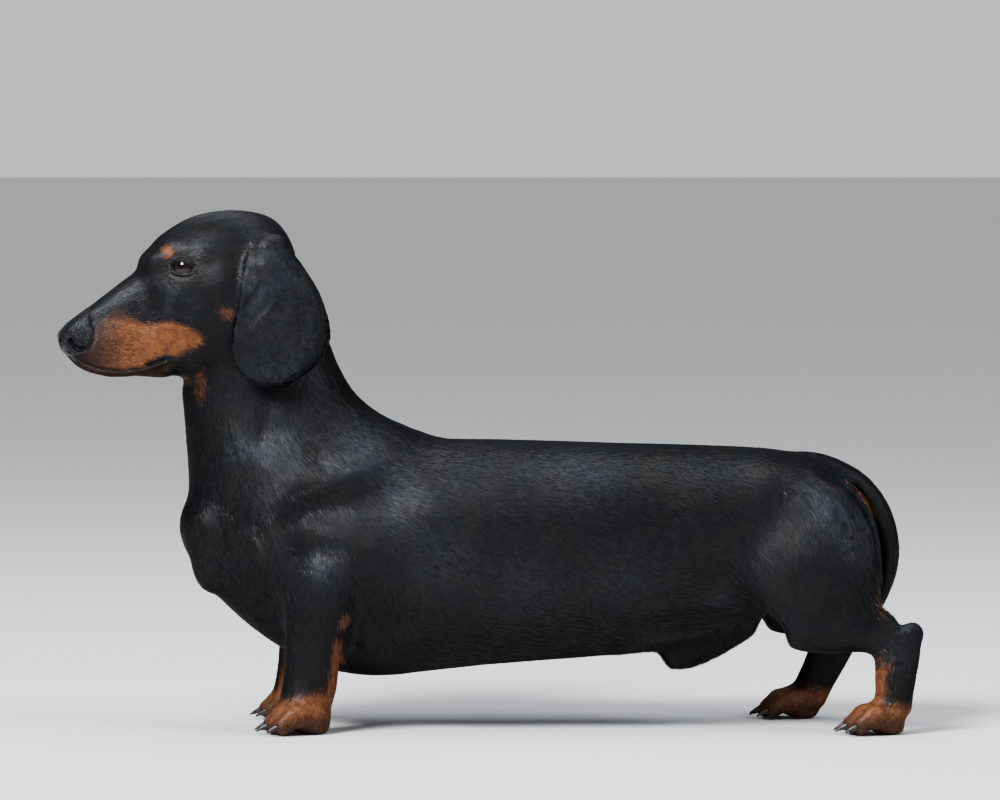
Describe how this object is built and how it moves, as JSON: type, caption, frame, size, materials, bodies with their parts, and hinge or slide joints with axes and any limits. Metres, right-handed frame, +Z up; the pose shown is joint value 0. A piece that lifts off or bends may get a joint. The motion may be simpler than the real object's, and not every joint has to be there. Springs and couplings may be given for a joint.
{
  "type": "dachshund model",
  "caption": "Life-size still model of a smooth-haired black-and-tan dachshund standing, for display; long low body on short legs, drop ears, tail held down.",
  "frame": {"origin": "on the floor under the middle of the dog, between its four paws", "axes": "the dog faces -X, its left side is at -Y, +Z is up"},
  "size_m": [0.6286, 0.1566, 0.3785],
  "materials": {
    "black_coat": "short glossy black hair",
    "tan_coat": "short tan hair",
    "nose_leather": "moist black nose leather",
    "eye": "polished dark brown"
  },
  "bodies": {
    "root": {"head": "black_coat", "lower_jaw": "black_coat", "neck": "black_coat", "chest": "black_coat", "belly": "black_coat", "rump": "black_coat", "tail": "black_coat", "ear_left": "black_coat", "ear_right": "black_coat", "foreleg_left": "black_coat", "foreleg_right": "black_coat", "thigh_left": "black_coat", "thigh_right": "black_coat", "lower_hind_leg_left": "black_coat", "lower_hind_leg_right": "black_coat", "forepaw_left": "tan_coat", "forepaw_right": "tan_coat", "hind_paw_left": "tan_coat", "hind_paw_right": "tan_coat", "nose": "nose_leather", "eye_left": "eye", "eye_right": "eye"}
  },
  "joints": []
}
